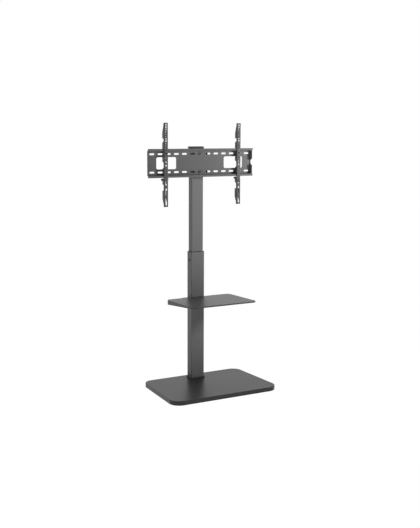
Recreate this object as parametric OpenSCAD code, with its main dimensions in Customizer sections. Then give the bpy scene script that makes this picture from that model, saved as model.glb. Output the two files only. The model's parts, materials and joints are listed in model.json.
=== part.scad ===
// Floor stand for a flat television: a base board, a telescopic column, a shelf, and a slotted
// plate that carries two hook-on arms. Millimetres, +Z up, +X to the viewer's right, -Y towards
// the viewer. The origin is the middle of the footprint, on the floor.

/* [Base] */
// Width of the board along its front edge, as if its corners were sharp
base_front_w = 643; // [560:1:760]
// Width of the board along its back edge, as if its corners were sharp
base_back_w = 599; // [520:1:640]
// Depth of the board
base_d = 428; // [380:1:520]
// Thickness of the board
base_t = 24; // [20:1:40]
// Radius of the board's front corners, seen from above
base_front_r = 58; // [20:1:80]
// Radius of the board's back corners, seen from above
base_back_r = 52; // [20:1:80]
// Rounding of the board's edges
base_edge_r = 2; // [1:0.5:4]
// Diameter of a rubber pad under the board
pad_d = 40; // [25:1:60]
// Height of a rubber pad
pad_t = 5.5; // [2:0.5:8]
// Distance from the board's edges to the middle of a pad
pad_inset = 46; // [35:1:70]

/* [Foot of the column] */
// Width of the steel plate let into the underside
spreader_w = 160; // [120:1:220]
// Depth of the steel plate let into the underside
spreader_d = 100; // [80:1:110]
// Thickness of the steel plate let into the underside
spreader_t = 5; // [4.5:0.5:8]
// Distance between the foot bolts, left to right
foot_bolt_dx = 48; // [36:1:52]
// Distance between the foot bolts, front to back
foot_bolt_dy = 22; // [20:1:24]
// Diameter of the foot bolts
foot_bolt_d = 8; // [6:1:8]
// Thickness of the threaded plate inside the tube
end_plate_t = 8; // [6:0.5:12]
// How far the plastic trim stands out round the tube
collar_w = 5; // [3:0.5:12]
// Height of the plastic trim
collar_h = 10; // [6:1:25]

/* [Column] */
// Distance from the middle of the board back to the middle of the column
column_y = 154; // [100:1:160]
// Width of the lower tube
lower_w = 80; // [80:1:100]
// Depth of the lower tube
lower_d = 50; // [50:1:70]
// Outer corner radius of the lower tube
lower_r = 3; // [2.5:0.5:8]
// Length of the lower tube
lower_l = 715; // [600:0.5:850]
// Width of the upper tube
upper_w = 70; // [60:1:70]
// Depth of the upper tube
upper_d = 40; // [34:1:40]
// Outer corner radius of the upper tube
upper_r = 3.5; // [3.5:0.5:6]
// Length of the upper tube
upper_l = 799; // [700:1:900]
// Wall of both tubes
tube_t = 2; // [1.5:0.1:2.4]
// Length of the upper tube inside the lower one, as it stands
insert_l = 234; // [160:0.5:320]
// Depth of the plastic guide in the lower tube's mouth
bush_l = 62; // [55:1:90]
// Height of the guide's lip
bush_lip_t = 3; // [2:0.5:6]
// Height of the plastic shoe on the upper tube's lower end
guide_l = 30; // [20:1:60]
// Height of the end cap above the upper tube
cap_t = 11.5; // [6:0.5:20]
// How far the end cap stands out round the upper tube
cap_w = 3.5; // [2:0.5:8]
// Distance from the lower tube's top down to the clamp screw
clamp_drop = 44.5; // [36:0.5:50]
// Thread diameter of the clamp screw
clamp_d = 8; // [6:1:10]

/* [Plate] */
// Distance from the upper tube's top down to the middle of the plate
plate_drop = 74.5; // [74:0.5:120]
// Width of the plate's web, over its end flanges
plate_w = 631; // [625:1:760]
// Width of the plate's lips
lip_w = 638; // [631:1:780]
// Height of the plate, from lip edge to lip edge
plate_h = 152; // [150:1:180]
// Height of a lip
lip_h = 12.5; // [11:0.5:16]
// Depth of the plate's tray, from the front of a lip to the front of the web
tray_d = 19.5; // [18:0.5:30]
// Sheet thickness of the plate
plate_t = 2; // [1.5:0.1:2.5]
// Number of slots in a row
slot_n = 13; // [9:2:13]
// Distance from slot to slot
slot_pitch = 48; // [46:1:50]
// Distance between the two rows of slots
row_gap = 96; // [92:1:104]
// Length of a slot
slot_l = 29; // [24:1:34]
// Width of a slot
slot_w = 9.5; // [8.5:0.5:12]
// Width of a window
window_w = 117; // [80:1:130]
// Height of a window
window_h = 63.5; // [40:0.5:70]
// Corner radius of a window
window_r = 9.5; // [5:0.5:20]
// Distance from the middle of the plate to the middle of a window
window_x = 204; // [180:1:230]
// Radius of the half-round notch in an end flange
notch_r = 17; // [10:1:18]

/* [Bracket] */
// Width of the channel between the upper tube and the plate
bracket_w = 92; // [80:1:120]
// Distance from the upper tube to the back of the plate
bracket_d = 29; // [24:1:45]
// Height of the channel
bracket_h = 121; // [110:1:130]
// Sheet thickness of the channel
bracket_t = 3; // [2.5:0.5:4]
// Thread diameter of the plate's bolts
plate_bolt_d = 8; // [6:1:8]
// Diameter of the washers that cover the middle slots
plate_washer_d = 24; // [20:1:30]

/* [Arms] */
// Place of the left arm's middle
left_arm_x = -216.5; // [-300:0.5:-100]
// Place of the right arm's middle
right_arm_x = 227; // [100:0.5:300]
// Height of an arm above the middle of the plate
arm_up = 211.5; // [190:0.5:260]
// Length of an arm below the middle of the plate
arm_down = 229.5; // [210:0.5:280]
// Width of an arm
arm_w = 23; // [20:1:30]
// Sheet thickness of an arm
arm_t = 2.5; // [2:0.1:3]
// Depth of an arm's side at its narrow stretches
arm_thin_d = 9; // [8:0.5:14]
// Distance from the front of the plate's lips forward to an arm's back face
arm_gap = 2.5; // [1.5:0.5:6]
// How far the hook reaches above the plate
hook_h = 31; // [20:1:40]
// Diameter of the round holes in an arm
arm_hole_d = 8; // [5:0.5:9]
// Distance from round hole to round hole
arm_hole_pitch = 12; // [12:0.1:14]
// Distance from the arm's top to its first hole
arm_hole_top = 11; // [8:0.5:16]
// Number of round holes above the plate
arm_hole_n = 11; // [6:1:11]
// Diameter of the safety screw
safety_d = 6; // [5:1:6]
// Diameter of the safety screw's knurled head
safety_head_d = 12; // [10:1:14]
// Length of the safety screw's knurled head
safety_head_l = 14; // [8:1:20]

/* [Shelf] */
// Height of the shelf's top above the floor, at the column
shelf_z = 496.3; // [300:0.1:700]
// Width of the shelf
shelf_w = 396; // [300:1:480]
// Depth of the shelf
shelf_d = 308; // [240:1:340]
// Depth of the shelf's edge at the back
shelf_back_h = 26; // [20:1:40]
// Depth of the shelf's edge at the front
shelf_front_h = 7; // [6:1:20]
// Corner radius of the shelf, seen from above
shelf_r = 30; // [10:1:40]
// Sheet thickness of the shelf
shelf_t = 2; // [1.5:0.1:2.5]
// Rise of the shelf towards its front, in degrees
shelf_tilt = 1.8; // [0:0.1:4]
// Height of the bracket's back plate under the shelf
shelf_plate_h = 46; // [40:1:70]
// Width of the bracket's back plate
shelf_plate_w = 150; // [140:1:200]
// Reach of the bracket's gussets under the shelf
gusset_l = 190; // [120:1:200]
// Sheet thickness of the bracket and the clamp bar
gusset_t = 3; // [2.5:0.5:4]
// Width of a gusset's top flange
gusset_w = 20; // [16:1:28]
// Diameter of the studs under the shelf
stud_d = 5; // [4:1:5]
// Diameter of the clamp bolts beside the column
shelf_bolt_d = 8; // [6:1:8]

/* [Hidden] */

// Facets of a circle: fine for true cylinders, coarser where a hull turns them into facets
$fn = 64;
hull_fn = 32;

// Overrun of every cut, so that no cut ends on a face
cut = 1;
// Gap between two fixed pieces that are fitted into each other
fit = 0.1;
// Radial gap between a thread and the hole that holds it
thread_gap = 0.05;
// Gap between two pieces that slide on each other
run = 0.3;
// Radial gap round a bolt that passes through a clearance hole
bolt_gap = 0.5;
// Gap round the plate's lips in the arms' notches, and between the threaded collar and the upper tube
notch_gap = 0.8;
// Gap between the arms' sides and the plate's web
web_gap = 1;
// Bolt heads and nuts, as shares of the thread's diameter
head_af_share = 1.625;
head_h_share = 0.66;
nut_h_share = 0.8;
socket_af_share = 0.75;
socket_depth_share = 0.3;
csk_head_share = 2;
csk_depth_share = 0.55;

// Levels
base_top = pad_t + base_t;
lower_top = base_top + lower_l;
upper_bottom = lower_top - insert_l;
upper_top = upper_bottom + upper_l;
plate_z = upper_top - plate_drop;
clamp_z = lower_top - clamp_drop;

// Planes, front to back
lower_front_y = column_y - lower_d / 2;
lower_back_y = column_y + lower_d / 2;
upper_front_y = column_y - upper_d / 2;
web_back_y = upper_front_y - bracket_d;
web_y = web_back_y - plate_t;
lip_y = web_y - tray_d;
arm_y = lip_y - arm_gap - arm_t;
arm_full_d = web_y - arm_y - web_gap;

// Inside of the lower tube
bore_w = lower_w - 2 * tube_t;
bore_d = lower_d - 2 * tube_t;
bore_r = lower_r - tube_t;
upper_bore_w = upper_w - 2 * tube_t;
upper_bore_d = upper_d - 2 * tube_t;
upper_bore_r = upper_r - tube_t;

// Basic outlines

module rounded_rect(w, d, r) {
    square([w - 2 * r, d], center = true);
    square([w, d - 2 * r], center = true);
    for (x = [-1, 1], y = [-1, 1])
        translate([x * (w / 2 - r), y * (d / 2 - r)]) circle(r);
}

module slot_outline(l, w) {
    square([l - w, w], center = true);
    for (x = [-1, 1])
        translate([x * (l - w) / 2, 0]) circle(w / 2);
}

// A channel seen along its length: its back ends at y = d and its legs start at y = 0
module channel_outline(w, d, t, r) {
    difference() {
        rounded_rect(w, 2 * d, r);
        rounded_rect(w - 2 * t, 2 * (d - t), r - t);
        translate([-w, -2 * d]) square([2 * w, 2 * d]);
    }
}

// A length of that channel along +z, with its back at y = 0 and its legs pointing along -y
module channel(w, d, t, r, l) {
    linear_extrude(l) translate([0, -d]) channel_outline(w, d, t, r);
}

module box_tube(w, d, r, t, l) {
    linear_extrude(l) difference() {
        rounded_rect(w, d, r);
        rounded_rect(w - 2 * t, d - 2 * t, r - t);
    }
}

// Cylinders along +x and along +y
module rod_x(r, l) {
    rotate([0, 90, 0]) cylinder(r = r, h = l);
}

module rod_y(r, l) {
    rotate([-90, 0, 0]) cylinder(r = r, h = l);
}

// A hexagon across flats af, along +z
module hexagon(af, h) {
    cylinder(d = af / cos(30), h = h, $fn = 6);
}

// A hexagon nut with its bore, along +z
module nut(d, gap) {
    difference() {
        hexagon(d * head_af_share, d * nut_h_share);
        translate([0, 0, -cut]) cylinder(d = d + 2 * gap, h = d * nut_h_share + 2 * cut);
    }
}

// A corner post with rounded rims, the child of a hull
module rimmed_post(r, h, e) {
    for (z = [e, h - e])
        translate([0, 0, z])
            rotate_extrude($fn = hull_fn) translate([r - e, 0]) circle(e, $fn = 12);
}

// Base

base_splay = (base_front_w - base_back_w) / 2;

// Half width of the board at a place y, moved in by a distance
function base_half(y, inset) =
    base_front_w / 2
    - (inset * norm([base_d, base_splay]) + base_splay * (y + base_d / 2)) / base_d;

module at_foot_bolts() {
    for (x = [-1, 1], y = [-1, 1])
        translate([x * foot_bolt_dx / 2, column_y + y * foot_bolt_dy / 2]) children();
}

module base_board() {
    color([0.13, 0.13, 0.135]) difference() {
        hull() for (x = [-1, 1], corner = [[-1, base_front_r], [1, base_back_r]]) {
            r = corner[1];
            post_y = corner[0] * (base_d / 2 - r);
            translate([x * base_half(post_y, r), post_y, pad_t]) rimmed_post(r, base_t, base_edge_r);
        }
        translate([0, column_y, pad_t - cut])
            linear_extrude(spreader_t + cut)
                square([spreader_w + 2 * bolt_gap, spreader_d + 2 * bolt_gap], center = true);
        at_foot_bolts() translate([0, 0, pad_t])
            cylinder(d = foot_bolt_d + 2 * bolt_gap, h = base_t + cut);
    }
}

// Three pads in front and two at the back, clear of the steel plate
pad_sides = [[-1, -1], [0, -1], [1, -1], [-1, 1], [1, 1]];

module foot_pads() {
    pad_edge = pad_t / 4;
    color([0.05, 0.05, 0.05])
        for (p = pad_sides) {
            pad_y = p[1] * (base_d / 2 - pad_inset);
            translate([p[0] * base_half(pad_y, pad_inset), pad_y, 0]) {
                cylinder(d1 = pad_d - 2 * pad_edge, d2 = pad_d, h = pad_edge);
                translate([0, 0, pad_edge]) cylinder(d = pad_d, h = pad_t - pad_edge);
            }
        }
}

// Length of thread left empty above the foot bolts
thread_left = 1;
csk_r = foot_bolt_d * csk_head_share / 2;
csk_h = foot_bolt_d * csk_depth_share;

module spreader_plate() {
    color([0.45, 0.45, 0.46]) difference() {
        translate([0, column_y, pad_t])
            linear_extrude(spreader_t) square([spreader_w, spreader_d], center = true);
        at_foot_bolts() {
            translate([0, 0, pad_t - cut]) cylinder(d = foot_bolt_d + 2 * bolt_gap, h = spreader_t + 2 * cut);
            translate([0, 0, pad_t])
                cylinder(r1 = csk_r + fit, r2 = foot_bolt_d / 2 + fit, h = csk_h);
            translate([0, 0, pad_t - cut]) cylinder(r = csk_r + fit, h = cut);
        }
    }
}

module foot_bolts() {
    color([0.6, 0.6, 0.62]) at_foot_bolts() difference() {
        union() {
            translate([0, 0, pad_t]) cylinder(r1 = csk_r, r2 = foot_bolt_d / 2, h = csk_h);
            translate([0, 0, pad_t + csk_h / 2])
                cylinder(d = foot_bolt_d, h = base_t + end_plate_t - csk_h / 2 - thread_left);
        }
        translate([0, 0, pad_t - cut])
            hexagon(foot_bolt_d * socket_af_share, foot_bolt_d * socket_depth_share + cut);
    }
}

module column_end_plate() {
    color([0.4, 0.4, 0.41]) difference() {
        translate([0, column_y, base_top]) linear_extrude(end_plate_t)
            rounded_rect(bore_w - 2 * fit, bore_d - 2 * fit, bore_r - fit);
        at_foot_bolts() translate([0, 0, base_top - cut])
            cylinder(d = foot_bolt_d + 2 * thread_gap, h = end_plate_t + 2 * cut);
    }
}

module foot_collar() {
    skirt_h = collar_h / 2;
    // a wide skirt below and half its width above
    steps = [[0, skirt_h, collar_w], [skirt_h, collar_h - skirt_h, collar_w / 2]];
    color([0.05, 0.05, 0.05]) difference() {
        hull() for (s = steps)
            translate([0, column_y, base_top + s[0]]) linear_extrude(s[1])
                rounded_rect(lower_w + 2 * s[2], lower_d + 2 * s[2], lower_r + s[2], $fn = hull_fn);
        translate([0, column_y, base_top - cut]) linear_extrude(collar_h + 2 * cut)
            rounded_rect(lower_w + 2 * fit, lower_d + 2 * fit, lower_r + fit);
    }
}

// Lower tube and what it holds

// The threaded collar that the clamp screw turns in is drawn inwards from the tube's left wall
boss_r = clamp_d * 0.8;
boss_l = (bore_w - upper_w) / 2 - notch_gap;

module lower_tube() {
    color([0.15, 0.15, 0.155]) difference() {
        union() {
            translate([0, column_y, base_top]) box_tube(lower_w, lower_d, lower_r, tube_t, lower_l);
            translate([-bore_w / 2 - tube_t / 2, column_y, clamp_z]) rod_x(boss_r, boss_l + tube_t / 2);
        }
        translate([-lower_w / 2 - cut, column_y, clamp_z])
            rod_x(clamp_d / 2 + thread_gap, tube_t + boss_l + 2 * cut);
    }
}

module column_bush() {
    color([0.04, 0.04, 0.04]) difference() {
        union() {
            translate([0, column_y, lower_top - bush_l]) linear_extrude(bush_l)
                rounded_rect(bore_w - 2 * fit, bore_d - 2 * fit, bore_r - fit);
            translate([0, column_y, lower_top]) linear_extrude(bush_lip_t)
                rounded_rect(lower_w, lower_d, lower_r);
        }
        translate([0, column_y, lower_top - bush_l - cut])
            linear_extrude(bush_l + bush_lip_t + 2 * cut)
                rounded_rect(upper_w + 2 * run, upper_d + 2 * run, upper_r + run);
        translate([-lower_w / 2, column_y, clamp_z]) rod_x(boss_r + bolt_gap, lower_w / 2);
    }
}

clamp_head_r = clamp_d * 0.85;
clamp_head_t = clamp_d * 0.3;
clamp_pad_t = clamp_d * 0.15;

module clamp_screw() {
    shank_l = (lower_w - upper_w) / 2 - run - clamp_pad_t;
    color([0.03, 0.03, 0.03]) difference() {
        translate([-lower_w / 2, column_y, clamp_z]) {
            translate([-clamp_head_t, 0, 0]) rod_x(clamp_head_r, clamp_head_t);
            rod_x(clamp_d / 2, shank_l);
        }
        translate([-lower_w / 2 - clamp_head_t - cut, column_y, clamp_z])
            rotate([0, 90, 0]) hexagon(clamp_d * socket_af_share, clamp_head_t + cut);
    }
}

module clamp_pad() {
    color([0.75, 0.6, 0.25])
        translate([-upper_w / 2 - run - clamp_pad_t, column_y, clamp_z])
            rod_x(clamp_d / 2 - fit, clamp_pad_t);
}

// Mast

module upper_tube() {
    color([0.17, 0.17, 0.175])
        translate([0, column_y, upper_bottom]) box_tube(upper_w, upper_d, upper_r, tube_t, upper_l);
}

module mast_guide() {
    floor_t = tube_t * 1.5;
    color([0.04, 0.04, 0.04]) difference() {
        translate([0, column_y, upper_bottom - floor_t]) linear_extrude(guide_l + floor_t)
            rounded_rect(bore_w - 2 * run, bore_d - 2 * run, bore_r - run);
        translate([0, column_y, upper_bottom]) linear_extrude(guide_l + cut)
            rounded_rect(upper_w + 2 * fit, upper_d + 2 * fit, upper_r + fit);
        translate([0, column_y, upper_bottom - floor_t - cut]) linear_extrude(floor_t + 2 * cut)
            rounded_rect(upper_bore_w - 2 * tube_t, upper_bore_d - 2 * tube_t, upper_bore_r);
    }
}

module mast_cap() {
    rim_r = cap_t / 6;
    plug_l = 2 * cap_t;
    plug_t = tube_t / 2;
    cap_x = upper_w / 2 + cap_w - upper_r - cap_w / 2;
    cap_y = upper_d / 2 + cap_w - upper_r - cap_w / 2;
    color([0.05, 0.05, 0.05]) {
        hull() for (x = [-1, 1], y = [-1, 1])
            translate([x * cap_x, column_y + y * cap_y, upper_top])
                rimmed_post(upper_r + cap_w / 2, cap_t, rim_r);
        translate([0, column_y, upper_top - plug_l])
            box_tube(upper_bore_w - 2 * fit, upper_bore_d - 2 * fit, upper_bore_r, plug_t, plug_l + rim_r);
    }
}

// Plate and its bracket

bend_r = plate_t * 1.75;

module plate_bracket() {
    outer_r = bracket_t * 1.5;
    color([0.12, 0.12, 0.125])
        translate([0, upper_front_y, plate_z - bracket_h / 2])
            channel(bracket_w, bracket_d, bracket_t, outer_r, bracket_h);
}

module at_plate_bolts() {
    for (z = [-1, 1])
        translate([0, web_back_y, plate_z + z * row_gap / 2]) children();
}

module plate_standoffs() {
    l = bracket_d - bracket_t;
    color([0.12, 0.12, 0.125]) at_plate_bolts() difference() {
        rod_y(plate_bolt_d * 1.1, l);
        translate([0, -cut, 0]) rod_y(plate_bolt_d / 2 + thread_gap, l + 2 * cut);
    }
}

module plate_washers() {
    color([0.14, 0.14, 0.145]) at_plate_bolts() translate([0, -2 * plate_t, 0]) difference() {
        rod_y(plate_washer_d / 2, plate_t);
        translate([0, -cut, 0]) rod_y(plate_bolt_d / 2 + bolt_gap, plate_t + 2 * cut);
    }
}

module plate_bolts() {
    head_r = plate_bolt_d * 0.95;
    head_h = plate_bolt_d * 0.55;
    grip = 2 * plate_t;
    // the dome is a slice of a ball that meets the washer in a circle of head_r
    ball_r = (head_r * head_r + head_h * head_h) / (2 * head_h);
    shank_l = grip + 2 * plate_bolt_d;
    color([0.16, 0.16, 0.165]) at_plate_bolts() translate([0, -grip, 0]) rotate([90, 0, 0]) difference() {
        union() {
            rotate_extrude() intersection() {
                translate([0, head_h - ball_r]) circle(ball_r);
                square([head_r, head_h]);
            }
            translate([0, 0, -shank_l]) cylinder(d = plate_bolt_d, h = shank_l);
        }
        translate([0, 0, head_h / 3]) hexagon(plate_bolt_d * socket_af_share * 0.8, head_h);
    }
}

// The plate's lips and flanges, seen from the side with the web at y = web_y
module plate_section() {
    half = plate_h / 2;
    flange_z = half - lip_h;
    for (s = [0, 1]) mirror([0, s]) {
        // half of the web, up to the bend
        translate([web_y, -cut / 2]) square([plate_t, flange_z - bend_r + plate_t + cut / 2]);
        // flange, between the bend at the web and the bend at the lip
        translate([lip_y + bend_r, flange_z]) square([tray_d + plate_t - 2 * bend_r, plate_t]);
        // lip
        translate([lip_y, flange_z + bend_r]) square([plate_t, lip_h - bend_r]);
        // bend from the web to the flange
        translate([web_back_y - bend_r, flange_z + plate_t - bend_r]) quarter_ring(bend_r, plate_t);
        // bend from the flange to the lip
        translate([lip_y + bend_r, flange_z + bend_r]) rotate(180) quarter_ring(bend_r, plate_t);
    }
}

module quarter_ring(r, t) {
    difference() {
        intersection() {
            circle(r);
            square(r);
        }
        circle(r - t);
    }
}

// Gap between an end flange and the flange above or below it
corner_gap = 0.75;

module mount_plate() {
    end_h = plate_h - 2 * lip_h - 2 * corner_gap;
    side_y = tray_d + plate_t;
    color([0.16, 0.16, 0.165]) difference() {
        union() {
            // lips and flanges run past the web's ends
            difference() {
                translate([-lip_w / 2, 0, plate_z]) rotate([90, 0, 90]) linear_extrude(lip_w) plate_section();
                for (x = [-1, 1])
                    translate([x * (plate_w / 2 + lip_w / 2 - bend_r), web_back_y, plate_z])
                        cube([lip_w, 2 * (plate_t + cut), end_h], center = true);
                // the flanges' ends slant from the web's end to the lip's
                for (s = [0, 1]) mirror([s, 0, 0]) translate([0, 0, plate_z - plate_h])
                    linear_extrude(2 * plate_h) polygon([
                        [lip_w / 2, lip_y + bend_r], [plate_w / 2, web_y], [plate_w / 2, web_back_y + cut],
                        [plate_w / 2 + lip_w, web_back_y + cut], [plate_w / 2 + lip_w, lip_y + bend_r]]);
            }
            translate([0, web_back_y, plate_z - end_h / 2])
                channel(plate_w, side_y, plate_t, bend_r, end_h);
        }
        for (i = [0 : slot_n - 1], z = [-1, 1])
            translate([(i - (slot_n - 1) / 2) * slot_pitch, web_back_y + cut, plate_z + z * row_gap / 2])
                rotate([90, 0, 0]) linear_extrude(plate_t + 2 * cut) slot_outline(slot_l, slot_w);
        for (x = [-1, 1]) {
            translate([x * window_x, web_back_y + cut, plate_z])
                rotate([90, 0, 0]) linear_extrude(plate_t + 2 * cut)
                    rounded_rect(window_w, window_h, window_r);
            translate([x * plate_w / 2 - plate_t - cut, lip_y, plate_z]) rod_x(notch_r, 2 * (plate_t + cut));
        }
    }
}

// Arms

// Height of the tab under the plate that holds the safety screw
tab_h = 36;
// Distance from an arm's second hole down to the hole that makes the upper screw pattern with it
pattern_h = 200;
lip_seat_z = plate_h / 2 + run;
flange_low_z = plate_h / 2 - lip_h;

// Shares of arm_up and of arm_down at which the two swellings start, are full and end
up_swell_shares = [0.95, 0.747, 0.612];
down_swell_shares = [0.9435, 0.818, 0.6255];
// Shares of half the plate's height between which the arm bears on the web, above and below the middle
web_pad_shares = [0.13, -0.39];
// Shares of arm_down at which the long slots lie, and their lengths as shares of it
long_slot_shares = [[0.456, 0.097], [0.655, 0.16], [0.879, 0.171]];
// Shares of half the plate's height at which the round holes in the plate's stretch lie
plate_hole_shares = [0.67, 0.35, 0.096];

// Outline of an arm's side: y is the depth behind the arm's face, z is counted from the middle of the plate
module arm_side() {
    thin = arm_thin_d;
    full = arm_full_d;
    hook_top = plate_h / 2 + hook_h;
    tab_top = -plate_h / 2 - lip_h / 4;
    slope = full - thin;
    polygon([
        [0, arm_up], [thin, arm_up],
        [thin, arm_up * up_swell_shares[0]], [full, arm_up * up_swell_shares[1]],
        [full, arm_up * up_swell_shares[2]], [thin, arm_up * up_swell_shares[2]],
        [thin, hook_top + slope / 2], [full, hook_top],
        [full, plate_h / 2 * web_pad_shares[0]], [thin, plate_h / 2 * web_pad_shares[0] - slope / 2],
        [thin, plate_h / 2 * web_pad_shares[1] + slope / 2], [full, plate_h / 2 * web_pad_shares[1]],
        [full, -flange_low_z + notch_gap], [lip_y - arm_y - notch_gap, -flange_low_z + notch_gap],
        [lip_y - arm_y - notch_gap, tab_top], [full, tab_top],
        [full, tab_top - tab_h + slope / 2], [thin, tab_top - tab_h],
        [thin, -arm_down * down_swell_shares[2]], [full, -arm_down * down_swell_shares[2]],
        [full, -arm_down * down_swell_shares[1]], [thin, -arm_down * down_swell_shares[0]],
        [thin, -arm_down], [0, -arm_down]]);
}

// The notch that takes the upper lip and its flange
module lip_notch() {
    lip_back = lip_y - arm_y + plate_t;
    translate([lip_back - plate_t - notch_gap, flange_low_z - notch_gap])
        square([plate_t + 2 * notch_gap, lip_seat_z - flange_low_z + notch_gap]);
    translate([lip_back - plate_t - notch_gap, flange_low_z - notch_gap])
        square([arm_full_d + cut, plate_t + 2 * notch_gap]);
}

// Place of the safety screw in an arm: under the plate's lower lip, so that the arm can't be lifted off
safety_y = lip_y - arm_y + plate_t;
safety_z = -plate_h / 2 - 1.5 * safety_d;

module arm() {
    outer_r = arm_t * 1.2;
    difference() {
        intersection() {
            translate([0, 0, -arm_down]) mirror([0, 1, 0])
                channel(arm_w, arm_full_d, arm_t, outer_r, arm_up + arm_down);
            translate([-arm_w, 0, 0]) rotate([90, 0, 90]) linear_extrude(2 * arm_w) difference() {
                arm_side();
                lip_notch();
            }
        }
        for (i = [0 : arm_hole_n - 1])
            translate([0, -cut, arm_up - arm_hole_top - i * arm_hole_pitch])
                rod_y(arm_hole_d / 2, arm_t + 2 * cut);
        translate([0, -cut, arm_up - arm_hole_top - arm_hole_pitch - pattern_h])
            rod_y(arm_hole_d / 2, arm_t + 2 * cut);
        for (s = plate_hole_shares)
            translate([0, -cut, s * plate_h / 2]) rod_y(arm_hole_d / 2, arm_t + 2 * cut);
        for (s = long_slot_shares)
            translate([0, -cut, -s[0] * arm_down]) rotate([-90, 0, 0]) linear_extrude(arm_t + 2 * cut)
                rotate(90) slot_outline(s[1] * arm_down, arm_hole_d);
        translate([-arm_w, safety_y, safety_z]) rod_x(safety_d / 2 + bolt_gap / 2, 2 * arm_w);
    }
}

module safety_screw() {
    groove_d = safety_head_d / 12;
    color([0.04, 0.04, 0.04]) {
        difference() {
            translate([-arm_w / 2 - safety_head_l, safety_y, safety_z])
                rod_x(safety_head_d / 2, safety_head_l);
            // a ring groove parts the grip from its collar
            translate([-arm_w / 2 - safety_head_l / 4, safety_y, safety_z]) difference() {
                rod_x(safety_head_d, groove_d);
                translate([-cut, 0, 0]) rod_x(safety_head_d / 2 - groove_d, groove_d + 2 * cut);
            }
            // slot for a screwdriver
            translate([-arm_w / 2 - safety_head_l - cut, safety_y - safety_head_d, safety_z - groove_d / 2])
                cube([cut + groove_d, 2 * safety_head_d, groove_d]);
        }
        translate([-arm_w / 2, safety_y, safety_z])
            rod_x(safety_d / 2, arm_w + safety_d * (nut_h_share + head_h_share / 2));
    }
}

module safety_nut() {
    color([0.6, 0.6, 0.62])
        translate([arm_w / 2, safety_y, safety_z]) rotate([0, 90, 0]) nut(safety_d, thread_gap);
}

module at_arm(x) {
    translate([x, arm_y, plate_z]) children();
}

module left_arm() {
    color([0.16, 0.16, 0.165]) at_arm(left_arm_x) arm();
}

module left_safety_screw() {
    at_arm(left_arm_x) safety_screw();
}

module left_safety_nut() {
    at_arm(left_arm_x) safety_nut();
}

module right_arm() {
    color([0.16, 0.16, 0.165]) at_arm(right_arm_x) arm();
}

module right_safety_screw() {
    at_arm(right_arm_x) safety_screw();
}

module right_safety_nut() {
    at_arm(right_arm_x) safety_nut();
}

// Shelf

// Gap between the side of the column and a clamp bolt
bolt_side_gap = 6;
// Shares of the gussets' reach at which the studs stand
stud_shares = [0.22, 0.9];
// Height of a gusset's tip, and the height of the clamp bar, as shares of the back plate's height
tip_share = 0.3;
bar_h_share = 0.74;
clamp_bolt_share = 0.6;

shelf_back_y = lower_front_y - run;
shelf_bolt_x = lower_w / 2 + bolt_side_gap + shelf_bolt_d / 2;
plate_top_z = shelf_z - shelf_t - fit;
shelf_bolt_z = plate_top_z - shelf_plate_h * clamp_bolt_share;
gusset_x = shelf_plate_w / 2 - 2 * gusset_t;
bar_y = lower_back_y + run;

// The shelf's own frame: its top at z = 0, its back edge at y = 0, tilted up towards the front
module on_shelf() {
    translate([0, shelf_back_y, shelf_z]) rotate([-shelf_tilt, 0, 0]) children();
}

module shelf_outline(inset) {
    for (x = [-1, 1], y = [-shelf_r, shelf_r - shelf_d])
        translate([x * (shelf_w / 2 - shelf_r), y]) circle(shelf_r - inset, $fn = hull_fn);
}

module shelf_tray() {
    rim_r = shelf_t * 1.5;
    // loss of depth along the edge, from the back to the front
    slope = (shelf_back_h - shelf_front_h) / shelf_d;
    color([0.17, 0.17, 0.175]) on_shelf() difference() {
        hull() {
            translate([0, 0, -shelf_back_h]) linear_extrude(shelf_back_h - rim_r) hull() shelf_outline(0);
            for (x = [-1, 1], y = [-shelf_r, shelf_r - shelf_d])
                translate([x * (shelf_w / 2 - shelf_r), y, -rim_r])
                    rotate_extrude($fn = hull_fn) translate([shelf_r - rim_r, 0]) circle(rim_r, $fn = 12);
        }
        translate([0, 0, -shelf_back_h - cut]) linear_extrude(shelf_back_h + cut - shelf_t)
            hull() shelf_outline(shelf_t);
        // the edge gets shallower towards the front
        translate([-shelf_w, 0, 0]) rotate([90, 0, 90]) linear_extrude(2 * shelf_w) polygon([
            [cut, -shelf_back_h - slope * cut],
            [-shelf_d - cut, -shelf_front_h + slope * cut],
            [-shelf_d - cut, -2 * shelf_back_h], [cut, -2 * shelf_back_h]]);
        // room for the bracket's back plate
        translate([-shelf_plate_w / 2 - bolt_gap, -3 * gusset_t, -shelf_t - 2 * shelf_back_h])
            cube([shelf_plate_w + 2 * bolt_gap, 3 * gusset_t + cut, 2 * shelf_back_h]);
    }
}

module at_studs() {
    for (x = [-1, 1], s = stud_shares)
        on_shelf() translate([x * (gusset_x + gusset_w / 2), -s * gusset_l, 0]) children();
}

stud_l = fit + gusset_t + stud_d * (nut_h_share + head_h_share / 2);

module shelf_studs() {
    color([0.6, 0.6, 0.62]) at_studs() translate([0, 0, -shelf_t - stud_l]) cylinder(d = stud_d, h = stud_l);
}

module shelf_nuts() {
    color([0.6, 0.6, 0.62]) at_studs()
        translate([0, 0, -shelf_t - fit - gusset_t - stud_d * nut_h_share]) nut(stud_d, thread_gap);
}

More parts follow.
